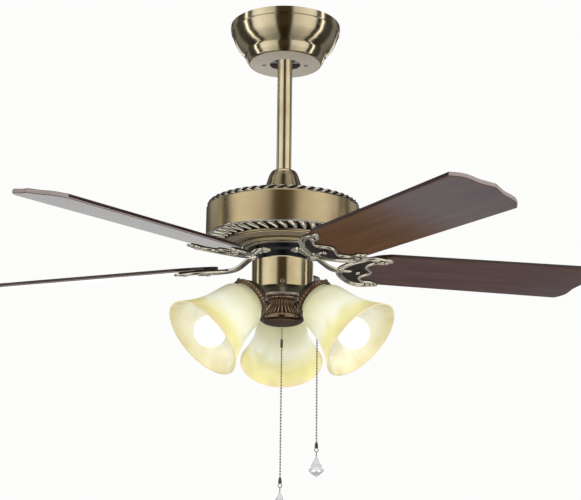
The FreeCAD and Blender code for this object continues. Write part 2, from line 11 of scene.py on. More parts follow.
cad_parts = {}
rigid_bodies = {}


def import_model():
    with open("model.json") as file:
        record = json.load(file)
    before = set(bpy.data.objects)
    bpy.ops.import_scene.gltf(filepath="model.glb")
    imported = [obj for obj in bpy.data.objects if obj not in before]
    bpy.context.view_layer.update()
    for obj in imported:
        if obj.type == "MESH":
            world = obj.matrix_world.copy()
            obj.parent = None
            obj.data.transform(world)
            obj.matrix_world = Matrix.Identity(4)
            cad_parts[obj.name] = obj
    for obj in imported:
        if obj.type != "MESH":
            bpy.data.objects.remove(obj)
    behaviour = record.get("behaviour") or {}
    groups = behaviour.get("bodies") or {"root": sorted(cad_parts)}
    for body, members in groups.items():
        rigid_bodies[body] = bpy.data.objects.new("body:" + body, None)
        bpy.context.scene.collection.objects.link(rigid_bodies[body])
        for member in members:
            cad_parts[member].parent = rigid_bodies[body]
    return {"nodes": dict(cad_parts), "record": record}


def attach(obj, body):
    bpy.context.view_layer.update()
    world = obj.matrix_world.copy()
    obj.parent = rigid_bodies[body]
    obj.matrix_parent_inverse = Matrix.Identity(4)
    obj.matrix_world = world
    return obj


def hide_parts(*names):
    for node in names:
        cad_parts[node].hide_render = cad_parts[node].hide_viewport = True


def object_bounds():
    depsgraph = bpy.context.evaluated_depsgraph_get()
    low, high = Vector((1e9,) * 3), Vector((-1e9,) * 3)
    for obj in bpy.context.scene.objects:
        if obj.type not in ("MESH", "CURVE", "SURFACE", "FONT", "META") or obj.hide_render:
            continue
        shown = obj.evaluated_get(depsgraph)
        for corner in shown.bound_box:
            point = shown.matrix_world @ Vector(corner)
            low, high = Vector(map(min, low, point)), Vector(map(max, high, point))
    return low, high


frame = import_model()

MM = 0.001
cad_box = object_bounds()
cad_nodes = frame["nodes"]

# Driving heights and places, as the frame has them
BLADE_Z = -413.0
MOTOR_TOP = -322.0
MOTOR_BOTTOM = -372.0
KIT_BOTTOM = -459.0
FIRST_BLADE = 13.5
BLADE_COUNT = 5
BLADE_PITCH = -12.4
BLADE_THICKNESS = 6.5
FIRST_SHADE = -30.0
SHADE_COUNT = 3
SHADE_TILT = 42.0
SHADE_REACH = 143.1
SHADE_Z = -552.0
GLASS_DEPTH = 112
CUP_DEPTH = 131.0
BELL_RIM = KIT_BOTTOM - 46.0
FINIAL_TIP = KIT_BOTTOM - 59.5
FAN_CHAIN_AZIMUTH = 15.0
FAN_CHAIN_REACH = 59.5
FAN_CHAIN_TOP = -453.0
FAN_CHAIN_END = -707.0
LIGHT_CHAIN_TOP = FINIAL_TIP + 12
LIGHT_CHAIN_END = -764.5
BEAD_DIAMETER = 3.2
BEAD_PITCH = 4.7
CRYSTAL_HANG = 20.05  # from a chain's end to its crystal's top


# --- Mesh helpers -----------------------------------------------------------------------------


def mesh_piece(name, vertices, faces, smooth_angle=40.0, patina_and_shade=None, place=None):
    """A mesh object from millimetre vertices, smooth except across edges sharper than the angle.

    With a place, the vertices are in its frame and are kept in the attribute "local" for the material.
    """
    vertices = [Vector(v) for v in vertices]
    mesh = bpy.data.meshes.new(name)
    mesh.from_pydata([(place @ v if place else v) * MM for v in vertices], [], faces)
    mesh.update()
    piece = bpy.data.objects.new(name, mesh)
    bpy.context.scene.collection.objects.link(piece)
    mesh.shade_smooth()
    mesh.set_sharp_from_angle(angle=math.radians(smooth_angle))
    if patina_and_shade is not None:
        attribute = mesh.attributes.new("patina_and_shade", "FLOAT", "POINT")
        attribute.data.foreach_set("value", patina_and_shade)
    if place is not None:
        attribute = mesh.attributes.new("local", "FLOAT_VECTOR", "POINT")
        attribute.data.foreach_set("vector", [c * MM for v in vertices for c in v])
    return piece


class Parts:
    """Vertices and faces of several shapes, gathered into one mesh."""

    def __init__(self):
        self.vertices = []
        self.faces = []
        self.patina_and_shade = []

    def add(self, vertices, faces, patina_and_shade=0.0):
        start = len(self.vertices)
        self.vertices += [tuple(v) for v in vertices]
        self.faces += [[start + i for i in face] for face in faces]
        self.patina_and_shade += patina_and_shade if isinstance(patina_and_shade, list) else [patina_and_shade] * len(vertices)

    def piece(self, name, smooth_angle=40.0, place=None):
        return mesh_piece(name, self.vertices, self.faces, smooth_angle, self.patina_and_shade, place)


def grid_faces(rows, columns, wrap_rows=False, wrap_columns=True):
    """Quads of a grid of vertices stored row by row."""
    faces = []
    for i in range(rows if wrap_rows else rows - 1):
        for j in range(columns if wrap_columns else columns - 1):
            below = (i + 1) % rows
            beside = (j + 1) % columns
            near = i * columns
            far = below * columns
            faces.append([near + j, near + beside, far + beside, far + j])
    return faces


def vectors(points):
    return [Vector(p) for p in points]


def softened(outline, radius, steps=4):
    """The outline with each inner corner turned into a small smooth bend."""
    points = [Vector(p) for p in outline]
    made = [points[0]]
    for before, corner, after in zip(points, points[1:], points[2:]):
        reach = min(radius, 0.45 * (before - corner).length, 0.45 * (after - corner).length)
        start = corner + (before - corner).normalized() * reach
        end = corner + (after - corner).normalized() * reach
        for k in range(steps + 1):
            t = k / steps
            made.append(start * (1 - t) ** 2 + corner * 2 * t * (1 - t) + end * t * t)
    return made + [points[-1]]


def spline(points, steps=8, closed=False):
    """A smooth line through the points."""
    points = [Vector(p) for p in points]
    count = len(points)
    made = []
    for i in range(count if closed else count - 1):
        if closed:
            a, b, c, d = [points[(i + k) % count] for k in (-1, 0, 1, 2)]
        else:
            a, b, c, d = [points[min(max(i + k, 0), count - 1)] for k in (-1, 0, 1, 2)]
        for k in range(steps):
            t = k / steps
            bend = (2 * a - 5 * b + 4 * c - d) * t * t + (3 * b - a - 3 * c + d) * t ** 3
            made.append(b + ((c - a) * t + bend) / 2)
    return made if closed else made + [points[-1]]


def lathe(outline, turns=128, ripple=None):
    """Vertices and faces of an outline of (radius, height) turned about Z, closed at the axis."""
    vertices = []
    for radius, height in outline:
        for j in range(turns):
            angle = 2 * math.pi * j / turns
            reach = radius + (ripple(radius, height, angle) if ripple else 0.0)
            vertices.append((reach * math.cos(angle), reach * math.sin(angle), height))
    return vertices, grid_faces(len(outline), turns)


def even(count):
    return [1.0] * count


def tapered(count, ends=0.6):
    """Shares of a bar's size along it, falling near both ends."""
    reach = max(1, count // 4)
    return [min(1.0, ends + (1 - ends) * min(i, count - 1 - i) / reach) for i in range(count)]


def swelling(count):
    """Shares of a bar's size along it, growing from its first end."""
    return [0.45 + 0.55 * min(1.0, 1.6 * i / count) for i in range(count)]


def sweep(path, half_width, half_height, sides=10, closed=False, up=(0, 0, 1), shares=even):
    """An oval bar along a path, its size scaled by the shares."""
    path = [Vector(p) for p in path]
    count = len(path)
    vertices = []
    for i, (point, share) in enumerate(zip(path, shares(count))):
        ahead = path[(i + 1) % count] if closed or i < count - 1 else point
        behind = path[i - 1] if closed or i else point
        along = (ahead - behind).normalized()
        side = along.cross(Vector(up)).normalized()
        rise = side.cross(along)
        for j in range(sides):
            angle = 2 * math.pi * j / sides
            across = side * (half_width * share * math.cos(angle))
            vertices.append(point + across + rise * (half_height * share * math.sin(angle)))
    faces = grid_faces(count, sides, wrap_rows=closed)
    if not closed:
        faces.append(list(range(sides))[::-1])
        faces.append([(count - 1) * sides + j for j in range(sides)])
    return vertices, faces


def turned_piece(name, outline, turns=128, smooth_angle=40.0, patina_and_shade=None, place=None):
    """A lathed outline as one piece, with a value of patina and painted shade for each point of the
    outline.
    """
    vertices, faces = lathe(outline, turns)
    shade = [value for value in patina_and_shade for _ in range(turns)] if patina_and_shade else [0.0] * len(vertices)
    return mesh_piece(name, vertices, faces, smooth_angle, shade, place)


def ball(centre, radius, columns=10, rows=6):
    """Vertices and faces of a small round bead."""
    vertices = [Vector(centre) + Vector((0, 0, radius))]
    for i in range(1, rows):
        tilt = math.pi * i / rows
        flat = radius * math.sin(tilt)
        rise = radius * math.cos(tilt)
        for j in range(columns):
            angle = 2 * math.pi * j / columns
            vertices.append(Vector(centre) + Vector((flat * math.cos(angle), flat * math.sin(angle), rise)))
    vertices.append(Vector(centre) - Vector((0, 0, radius)))
    last = len(vertices) - 1
    faces = [[0, 1 + j, 1 + (j + 1) % columns] for j in range(columns)]
    for i in range(rows - 2):
        for j in range(columns):
            a = 1 + i * columns + j
            b = 1 + i * columns + (j + 1) % columns
            faces.append([a, a + columns, b + columns, b])
    faces += [[last - columns + j, last, last - columns + (j + 1) % columns] for j in range(columns)]
    return vertices, faces


def moved(shape, matrix):
    """The shape's vertices carried by the matrix, with its faces."""
    vertices, faces = shape
    return [matrix @ Vector(v) for v in vertices], faces


def turn_z(degrees):
    return Matrix.Rotation(math.radians(degrees), 4, "Z")


def blade_place(number):
    """From a blade's own frame (X outward, Y across) to the fan's."""
    pitch = Matrix.Rotation(math.radians(BLADE_PITCH), 4, "X")
    azimuth = FIRST_BLADE + 360 / BLADE_COUNT * number
    return turn_z(azimuth) @ Matrix.Translation((0, 0, BLADE_Z)) @ pitch


def shade_place(number):
    """From a shade's own frame (origin in its mouth, Z to its back) to the fan's."""
    tilt = Matrix.Rotation(math.radians(SHADE_TILT - 90), 4, "Y")
    azimuth = FIRST_SHADE + 360 / SHADE_COUNT * number
    return turn_z(azimuth) @ Matrix.Translation((SHADE_REACH, 0, SHADE_Z)) @ tilt


def finish_piece(piece, body, material, replaced):
    """The piece's material, the body it moves with and the CAD node it stands for."""
    piece.data.materials.append(material)
    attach(piece, body)
    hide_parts(replaced)


# --- Materials --------------------------------------------------------------------------------


class Nodes:
    """Short calls for wiring the nodes of one tree."""

    def __init__(self, tree):
        self.tree = tree

    def new(self, kind):
        return self.tree.nodes.new(kind)

    def link(self, source, socket):
        self.tree.links.new(source, socket)

    def feed(self, value, socket):
        """A number, a colour or another node's output into a socket."""
        if isinstance(value, (int, float)):
            socket.default_value = value
        elif isinstance(value, tuple):
            socket.default_value = (*value, 1)
        else:
            self.link(value, socket)

    def ramp(self, source, stops):
        """stops are (place, colour) with a colour or one grey number."""
        made = self.new("ShaderNodeValToRGB")
        elements = made.color_ramp.elements
        while len(elements) < len(stops):
            elements.new(0.5)
        for element, (place, colour) in zip(elements, stops):
            element.position = place
            element.color = (colour,) * 3 + (1,) if isinstance(colour, float) else (*colour, 1)
        self.link(source, made.inputs["Fac"])
        return made.outputs["Color"]

    def math(self, kind, first, second=0.0):
        made = self.new("ShaderNodeMath")
        made.operation = kind
        self.feed(first, made.inputs[0])
        self.feed(second, made.inputs[1])
        return made.outputs["Value"]

    def fraction(self, source, low, high):
        """0 below low, 1 above high and even between."""
        made = self.new("ShaderNodeMapRange")
        made.inputs["From Min"].default_value = low
        made.inputs["From Max"].default_value = high
        self.link(source, made.inputs["Value"])
        return made.outputs["Result"]

    def mix(self, factor, first, second, kind="MIX"):
        made = self.new("ShaderNodeMix")
        made.data_type = "RGBA"
        made.blend_type = kind
        for name, value in zip(("Factor_Float", "A_Color", "B_Color"), (factor, first, second)):
            self.feed(value, next(s for s in made.inputs if s.identifier == name))
        return next(s for s in made.outputs if s.identifier == "Result_Color")


class Graph(Nodes):
    """A node material with one Principled shader, in the object's or in the piece's own coordinates."""

    def __init__(self, name, local=False):
        self.material = bpy.data.materials.new(name)
        self.material.use_nodes = True
        super().__init__(self.material.node_tree)
        self.shader = self.tree.nodes["Principled BSDF"]
        if local:
            own = self.new("ShaderNodeAttribute")
            own.attribute_name = "local"
            self.coordinates = own.outputs["Vector"]
        else:
            self.coordinates = self.new("ShaderNodeTexCoord").outputs["Object"]

    def fixed(self, **values):
        for name, value in values.items():
            self.shader.inputs[name.replace("_", " ")].default_value = value

    def noise(self, scale, detail=4.0, stretch=(1, 1, 1), distortion=0.0):
        mapping = self.new("ShaderNodeMapping")
        mapping.inputs["Scale"].default_value = stretch
        self.link(self.coordinates, mapping.inputs["Vector"])
        made = self.new("ShaderNodeTexNoise")
        made.inputs["Scale"].default_value = scale
        made.inputs["Detail"].default_value = detail
        made.inputs["Distortion"].default_value = distortion
        self.link(mapping.outputs["Vector"], made.inputs["Vector"])
        return made.outputs["Fac"]

    def attribute(self, name):
        made = self.new("ShaderNodeAttribute")
        made.attribute_name = name
        return made.outputs["Fac"]

    def axis(self, name):
        made = self.new("ShaderNodeSeparateXYZ")
        self.link(self.coordinates, made.inputs["Vector"])
        return made.outputs[name]

    def into(self, name, source):
        self.link(source, self.shader.inputs[name])

    def bump(self, height, strength, distance):
        made = self.new("ShaderNodeBump")
        made.inputs["Strength"].default_value = strength
        made.inputs["Distance"].default_value = distance
        self.link(height, made.inputs["Height"])
        self.link(made.outputs["Normal"], self.shader.inputs["Normal"])


def metal(name, dark, light, rough_low, rough_high, spun=0.02, patina_and_shade_tone=(0.02, 0.013, 0.01)):
    """Spun metal: cloudy colour, fine rings round the axis, dark patina and painted shade where the mesh
    says so.
    """
    graph = Graph(name)
    clouds = graph.noise(16, 5)
    rings = graph.noise(3, 3, stretch=(1, 1, 420))
    colour = graph.ramp(clouds, [(0.3, dark), (0.7, light)])
    # The mesh's value darkens the colour both for real patina in hollows and for painted shade.
    patina_and_shade = graph.attribute("patina_and_shade")
    graph.into("Base Color", graph.mix(patina_and_shade, colour, patina_and_shade_tone))
    wear = graph.math("ADD", graph.math("MULTIPLY", rings, 0.6), graph.math("MULTIPLY", clouds, 0.4))
    rough = graph.ramp(wear, [(0.3, rough_low), (0.7, rough_high)])
    graph.into("Roughness", graph.math("ADD", rough, graph.math("MULTIPLY", patina_and_shade, 0.25)))
    graph.fixed(Metallic=1.0)
    graph.bump(rings, spun, 0.0002)
    return graph.material


def cast_brass():
    """Bright casting with fine grain, browned to nearly black in its hollows, and as dark where shade is
    painted on.
    """
    graph = Graph("brass_cast")
    grain = graph.noise(420, 3)
    clouds = graph.noise(40, 4)
    colour = graph.ramp(clouds, [(0.3, (0.76, 0.70, 0.53)), (0.7, (0.95, 0.90, 0.76))])
    # The mesh's value darkens the colour both for real patina in hollows and for painted shade.
    patina_and_shade = graph.attribute("patina_and_shade")
    graph.into("Base Color", graph.mix(patina_and_shade, colour, (0.030, 0.020, 0.012)))
    rough = graph.ramp(grain, [(0.3, 0.16), (0.7, 0.24)])
    graph.into("Roughness", graph.math("ADD", rough, graph.math("MULTIPLY", patina_and_shade, 0.25)))
    graph.fixed(Metallic=1.0)
    graph.bump(grain, 0.03, 0.0003)
    return graph.material


def walnut():
    """Dark walnut along the blade's own X axis under a gloss lacquer, its edges dark except a highlight
    painted light along one long edge underneath and round the tip, where the lacquer is left off.
    """
    graph = Graph("walnut", local=True)
    broad = graph.noise(9, 5, stretch=(0.5, 6, 6), distortion=0.6)
    fine = graph.noise(60, 6, stretch=(0.25, 9, 9), distortion=0.2)
    pores = graph.noise(260, 3, stretch=(0.12, 8, 8))
    tones = [(0.25, (0.105, 0.046, 0.024)), (0.5, (0.15, 0.072, 0.040)), (0.8, (0.185, 0.094, 0.056))]
    colour = graph.ramp(broad, tones)
    streaks = graph.ramp(fine, [(0.3, (0.82, 0.78, 0.76)), (0.65, (1.0, 1.0, 1.0))])
    colour = graph.mix(1.0, colour, streaks, "MULTIPLY")
    specks = graph.ramp(pores, [(0.28, 0.6), (0.4, 1.0)])
    colour = graph.mix(1.0, colour, specks, "MULTIPLY")
    flat = BLADE_THICKNESS / 2 * MM
    face = graph.fraction(graph.math("ABSOLUTE", graph.axis("Z")), flat - 0.0002, flat - 0.00005)
    under = graph.math("LESS_THAN", graph.axis("Z"), -0.0012)
    beside = graph.math("GREATER_THAN", graph.axis("Y"), 0.04)
    at_tip = graph.math("GREATER_THAN", graph.axis("X"), 0.5075)
    # Painted highlight: the lower bevel of the long edge at +Y and every tip edge get a light colour and no
    # lacquer.
    painted_highlight_edge = graph.math("MAXIMUM", graph.math("MULTIPLY", beside, under), at_tip)
    edge = graph.mix(painted_highlight_edge, (0.035, 0.018, 0.014), (0.42, 0.35, 0.34))
    graph.into("Base Color", graph.mix(face, edge, colour))
    graph.into("Roughness", graph.ramp(fine, [(0.3, 0.40), (0.7, 0.32)]))
    uncoated_highlight_edge = graph.math("MULTIPLY", painted_highlight_edge, graph.math("SUBTRACT", 1.0, face))
    graph.into("Coat Weight", graph.math("SUBTRACT", 1.0, uncoated_highlight_edge))
    graph.fixed(Coat_Roughness=0.06, Specular_IOR_Level=0.05)
    graph.bump(fine, 0.012, 0.0003)
    return graph.material


def alabaster():
    """Cream glass, marbled, yellower towards the mouth at Z = 0, with the lamp's glow through it painted on
    as emission.
    """
    graph = Graph("alabaster_glass", local=True)
    depth = graph.math("MULTIPLY", graph.axis("Z"), 1 / (GLASS_DEPTH * MM))
    veins = graph.noise(20, 5, distortion=1.2)
    sway = graph.math("MULTIPLY", graph.math("SUBTRACT", veins, 0.5), 0.22)
    shifted = graph.math("ADD", depth, sway)
    # The whiter stop at 0.42 on the outside is painted glow from the lamp behind the glass.
    outside = [(0.0, (0.90, 0.79, 0.48)), (0.07, (0.92, 0.84, 0.40)), (0.18, (0.91, 0.86, 0.42))]
    outside += [(0.42, (0.90, 0.91, 0.76)), (0.65, (0.84, 0.84, 0.60)), (1.0, (0.72, 0.70, 0.42))]
    inside = [(0.0, (0.90, 0.83, 0.50)), (0.12, (0.88, 0.83, 0.60)), (0.35, (0.80, 0.80, 0.70))]
    inside += [(0.8, (0.8, 0.8, 0.76))]
    # Here the attribute marks the inside of the glass, which gets its own colours and less painted glow.
    within = graph.attribute("patina_and_shade")
    colour = graph.mix(within, graph.ramp(shifted, outside), graph.ramp(shifted, inside))
    marble = graph.ramp(veins, [(0.35, (0.88, 0.87, 0.82)), (0.6, (1.0, 1.0, 1.0))])
    colour = graph.mix(1.0, colour, marble, "MULTIPLY")
    graph.into("Base Color", colour)
    graph.into("Emission Color", colour)
    # Painted glow: the glass gives off light in its own colour, strongest near the lamp.
    glow = graph.ramp(shifted, [(0.0, 0.44), (0.18, 0.44), (0.42, 0.50), (0.7, 0.34), (1.0, 0.2)])
    graph.into("Emission Strength", graph.mix(within, glow, (0.2, 0.2, 0.2)))
    graph.into("Roughness", graph.ramp(veins, [(0.3, 0.28), (0.7, 0.42)]))
    graph.fixed(Specular_IOR_Level=0.4, Coat_Weight=0.15, Coat_Roughness=0.2)
    graph.bump(veins, 0.05, 0.001)
    return graph.material


def bulb_glass():
    """Frosted glass, brightest on the front of its globe."""
    graph = Graph("bulb_glass", local=True)
    haze = graph.noise(90, 3)
    graph.into("Base Color", graph.ramp(haze, [(0.3, (0.9, 0.88, 0.8)), (0.7, (1.0, 1.0, 0.96))]))
    graph.into("Emission Color", graph.ramp(haze, [(0.3, (1.0, 0.97, 0.92)), (0.7, (1.0, 1.0, 0.98))]))
    far = graph.fraction(graph.axis("Z"), 0.012, 0.05)
    graph.into("Emission Strength", graph.math("SUBTRACT", 1.4, far))
    graph.into("Roughness", graph.ramp(haze, [(0.3, 0.35), (0.7, 0.45)]))
    return graph.material


def plain(name, dark, light, scale, roughness, metallic=0.0, bump=0.1, specular=0.5):
    """Mottled colour and fine surface grain, for moulded, painted, cut or bare parts."""
    graph = Graph(name)
    speckle = graph.noise(scale, 4)
    rough = [(0.3, roughness * 0.85), (0.7, min(1.0, roughness * 1.2))]
    graph.into("Base Color", graph.ramp(speckle, [(0.3, dark), (0.7, light)]))
    graph.into("Roughness", graph.ramp(speckle, rough))
    graph.fixed(Metallic=metallic, Specular_IOR_Level=specular)
    graph.bump(speckle, bump, 0.0003)
    return graph.material


def crystal():
    """Clear cut glass with a little light in it, so that its facets show against white."""
    graph = Graph("cut_crystal")
    cloud = graph.noise(200, 2)
    graph.into("Base Color", graph.ramp(cloud, [(0.3, (0.93, 0.95, 0.97)), (0.7, (1.0, 1.0, 1.0))]))
    graph.into("Roughness", graph.ramp(cloud, [(0.3, 0.0), (0.7, 0.03)]))
    graph.into("Emission Color", graph.ramp(cloud, [(0.3, (0.95, 0.97, 1.0)), (0.7, (1.0, 1.0, 1.0))]))
    graph.fixed(Transmission_Weight=1.0, IOR=1.46, Emission_Strength=0.2)
    return graph.material


def laminated():
    """The stator's stacked steel sheets."""
    graph = Graph("laminated_steel")
    sheets = graph.noise(2, 2, stretch=(1, 1, 900))
    graph.into("Base Color", graph.ramp(sheets, [(0.4, (0.16, 0.16, 0.17)), (0.6, (0.45, 0.46, 0.48))]))
    graph.into("Roughness", graph.ramp(sheets, [(0.3, 0.35), (0.7, 0.55)]))
    graph.fixed(Metallic=1.0)
    graph.bump(sheets, 0.4, 0.0004)
    return graph.material


def copper_wire():
    """The stator's wound and varnished copper."""
    graph = Graph("copper_wire")
    turns = graph.noise(5, 2, stretch=(1, 1, 160))
    graph.into("Base Color", graph.ramp(turns, [(0.35, (0.24, 0.07, 0.03)), (0.65, (0.62, 0.26, 0.12))]))
    graph.into("Roughness", graph.ramp(turns, [(0.3, 0.25), (0.7, 0.45)]))
    graph.fixed(Metallic=1.0)
    graph.bump(turns, 0.5, 0.0006)
    return graph.material


POLISHED = metal("brass_polished", (0.60, 0.50, 0.31), (0.80, 0.70, 0.48), 0.10, 0.18)
SATIN = metal("brass_satin", (0.52, 0.41, 0.24), (0.66, 0.54, 0.33), 0.21, 0.23, spun=0.006)
# This dark bronze tone is patina in flutes and ribs, and painted shade under the finial.
BRONZE_PATINA_AND_SHADE = (0.07, 0.035, 0.015)
BRONZE = metal("bronze_dark", (0.13, 0.07, 0.035), (0.38, 0.26, 0.16), 0.12, 0.2, patina_and_shade_tone=BRONZE_PATINA_AND_SHADE)
CAST = cast_brass()
WALNUT = walnut()
ALABASTER = alabaster()
BULB = bulb_glass()
CRYSTAL = crystal()
FITTINGS = metal("oxidised_fittings", (0.07, 0.065, 0.055), (0.16, 0.15, 0.13), 0.2, 0.35)
CHAIN = metal("gunmetal", (0.40, 0.38, 0.35), (0.70, 0.68, 0.65), 0.15, 0.3)
BLACK = plain("black_enamel", (0.004, 0.005, 0.008), (0.012, 0.014, 0.02), 60, 0.18, specular=0.2)
BLACK_PLASTIC = plain("black_plastic", (0.012, 0.012, 0.013), (0.03, 0.03, 0.032), 300, 0.38)
STEEL = plain("zinc_plated_steel", (0.38, 0.38, 0.37), (0.62, 0.62, 0.6), 120, 0.3, metallic=1.0)
ALUMINIUM = plain("die_cast_aluminium", (0.5,) * 3, (0.72, 0.72, 0.73), 220, 0.42, metallic=1.0, bump=0.3)
CERAMIC = plain("glazed_porcelain", (0.72, 0.70, 0.64), (0.86, 0.84, 0.79), 40, 0.2)
WIRE = plain("wire_insulation", (0.55, 0.55, 0.52), (0.72, 0.72, 0.69), 150, 0.45)
LAMINATED = laminated()
COPPER = copper_wire()

SLOT_MATERIALS = {
    "brass_polished": POLISHED,
    "brass_satin": SATIN,
    "brass_cast": CAST,
    "bronze_dark": BRONZE,
    "steel": STEEL,
    "steel_black": BLACK,
    "laminations": LAMINATED,
    "copper": COPPER,
    "aluminium": ALUMINIUM,
    "wood": WALNUT,
    "alabaster_glass": ALABASTER,
    "bulb_glass": BULB,
    "ceramic": CERAMIC,
    "plastic_black": BLACK_PLASTIC,
    "wire": WIRE,
    "chain": CHAIN,
    "crystal": CRYSTAL,
}


def paint_frame():
    """Every carried CAD node gets the node material of its slot, and the chains' fittings are darker."""
    slots = {part["node"]: part["material_slot"] for part in frame["record"]["subparts"]}
    for name, piece in cad_nodes.items():
        for material_slot in piece.material_slots:
            material_slot.material = SLOT_MATERIALS[slots[name]]
    for name in ("light_chain_fittings", "fan_chain_fittings"):
        for material_slot in cad_nodes[name].material_slots:
            material_slot.material = FITTINGS


# --- Canopy and motor trim --------------------------------------------------------------------


def spun_canopy():
    """The stepped bowl at the ceiling, bright outside and darkened inside with painted shade."""
    upper = [(92.4, -11.8), (91.3, -13.4), (89.2, -19), (84.2, -31), (77.6, -41), (71.7, -47.8)]
    lower = [(69.1, -50.2), (68.3, -52.5), (66.3, -58), (62.6, -64.8)]
    base = [(60.6, -66.8), (60, -67), (59.4, -67), (26, -67)]
    outside = vectors([(93, 0), (93, -10.8)]) + spline(upper, 8) + spline(lower, 8) + vectors(base)
    inside = [(26, -65.8), (59, -65.8), (61.4, -64), (65.1, -57), (67.6, -50), (70.2, -47), (76.4, -40.2)]
    inside += [(82.9, -30.3), (87.9, -18.7), (91.6, -10), (91.8, 0)]
    # Painted shade: every point of the inner wall is fully darkened.
    shade = [0.0] * len(outside) + [1.0] * len(inside)
    piece = turned_piece("spun_canopy", outside + vectors(inside), 160, 30, shade)
    finish_piece(piece, "ceiling_mount", POLISHED, "canopy")


def stepped_trim_ring():
    """Bright beads with steps between them darkened by patina and by painted shade, from the louvres in to
    the flywheel's neck.

    Each step is its radius, its height from the ring's top and its share of patina and painted shade.
    """
    top = MOTOR_BOTTOM - 7
    steps = [(97, 0, 0.6), (97, -2.6, 0.2), (95.6, -3.8, 0), (93, -4.9, 0.1), (92, -4.6, 0.95)]
    steps += [(90.6, -4.9, 0.35), (82, -5.8, 0.35), (80, -6, 0.95), (79, -6.4, 0.3), (77.4, -6.9, 0)]
    steps += [(76.4, -8.3, 0.1), (75, -9.3, 0.9), (73.8, -9.8, 0.4), (71.4, -10.5, 0.4), (70.6, -10.8, 0.9)]
    steps += [(69.6, -11.4, 0), (66.6, -11.6, 0), (65.8, -11.3, 0.9), (62, -11.4, 0.9), (61.8, -12.4, 0)]
    steps += [(58, -12.5, 0.2), (52, -12.5, 0.9), (52, -10.5, 1), (72, -8.5, 1), (75, -4.5, 1)]
    steps += [(90, -2.5, 1), (91, 0, 1), (97, 0, 1)]
    outline = [Vector((radius, top + height)) for radius, height, patina_and_shade in steps]
    # The values darken chosen steps as patina and painted shade, leaving bright bands, and darken the inner
    # faces fully.
    shade = [patina_and_shade for radius, height, patina_and_shade in steps]
    piece = turned_piece("stepped_trim_ring", outline, 144, 50, shade)
    finish_piece(piece, "fan_body", SATIN, "lower_trim_ring")


def upper_rope_trim():
    """Two strands twisted round the drum's top edge, dark in the furrows between them."""
    ring_radius = 122.6
    height = MOTOR_TOP + 3.3
    strand_radius = 1.75
    offset = 1.45
    twists = 25
    steps = twists * 16
    parts = Parts()
    for strand in range(2):
        path = []
        for i in range(steps):
            angle = 2 * math.pi * i / steps
            twist = twists * angle + math.pi * strand
            reach = ring_radius + offset * math.cos(twist)
            rise = height + offset * math.sin(twist)
            path.append((reach * math.cos(angle), reach * math.sin(angle), rise))
        vertices, faces = sweep(path, strand_radius, strand_radius, 12, closed=True)
        patina_and_shade = []
        for v in vertices:
            out = math.hypot(math.hypot(v.x, v.y) - ring_radius, v.z - height)
            patina_and_shade.append(min(1.0, max(0.0, (3.08 - out) / 0.6)))
        parts.add(vertices, faces, patina_and_shade)
    piece = parts.piece("upper_rope_trim_strands", 80)
    finish_piece(piece, "fan_body", CAST, "upper_rope_trim")


def lower_vent_ring():
    """A cone under the drum, painted dark for the shade in the vent slots, with slanted, polished,
    comma-shaped ribs on it.
    """
    rim = 125.65
    base = MOTOR_BOTTOM
    parts = Parts()
    lip = [(rim - 1.4, base + 4), (rim, base + 3.6), (rim, base), (rim - 1.2, base - 1.7)]
    lip += [(rim - 3, base - 1.9), (119.5, base - 1.2)]
    cone = [(118.5, base + 0.6), (98.4, base - 5.4), (97.2, base - 7.5), (97.2, base - 5)]
    cone += [(118, base + 2.2), (rim - 1.4, base + 4)]
    turns = 160
    vertices, faces = lathe(lip + cone, turns)
    # Painted shade: the cone between the ribs is fully darkened, standing in for open vent slots; the lip
    # stays bright.
    parts.add(vertices, faces, [0.0] * (len(lip) * turns) + [1.0] * (len(cone) * turns))
    count = 42
    line = spline([(98.6, 5.6, base - 6.4), (107, 1.6, base - 3.8), (117.2, -5.8, base - 0.6)], 6)
    rib = sweep(line, 4.9, 2.6, 12, shares=swelling)
    for i in range(count):
        parts.add(*moved(rib, turn_z(360 / count * (i + 0.5))))
    piece = parts.piece("lower_vent_ribs", 50)
    finish_piece(piece, "fan_body", CAST, "lower_vent_ring")


# --- Blades and irons -------------------------------------------------------------------------


def blade_outline():
    """Half of a blade from its root to its bracket-shaped tip, then the other half mirrored."""
    corner = 506.5
    tip = 533.0
    tip_width = 121.0
    root = spline([(122, 12), (134, 33), (150, 46.5), (172, 54)], 6)
    bracket = [(0.44, 0.32), (0.36, 0.58), (0.28, 0.66), (0.18, 0.70), (0.08, 0.86), (0, 1)]
    end = [(corner, tip_width / 2)]
    end += [(corner + (tip - corner) * rise, tip_width * across) for across, rise in bracket]
    half = root + spline(end, 6)
    return half + [Vector((p.x, -p.y)) for p in half[-2::-1]]


def flat_plate(outline, bottom, top):
    """Vertices and faces of a closed plate between two heights."""
    count = len(outline)
    vertices = [(p[0], p[1], bottom) for p in outline] + [(p[0], p[1], top) for p in outline]
    faces = [list(range(count)), [count + i for i in range(count)][::-1]]
    faces += [[(i + 1) % count, i, count + i, count + (i + 1) % count] for i in range(count)]
    return vertices, faces


def blade_mesh(name, place):
    """A flat board with softly rounded edges."""
    vertices, faces = flat_plate(blade_outline(), -BLADE_THICKNESS / 2, BLADE_THICKNESS / 2)
    piece = mesh_piece(name, vertices, faces, 35, place=place)
    bevel = piece.modifiers.new("rounded_edge", "BEVEL")
    bevel.width = 2.0 * MM
    bevel.segments = 4
    bevel.limit_method = "ANGLE"
    bevel.angle_limit = math.radians(50)
    bevel.harden_normals = True
    return piece


def blades():
    for number in range(BLADE_COUNT):
        piece = blade_mesh(f"wooden_blade_{number + 1}", blade_place(number))
        finish_piece(piece, "rotor", WALNUT, f"blade_{number + 1}")


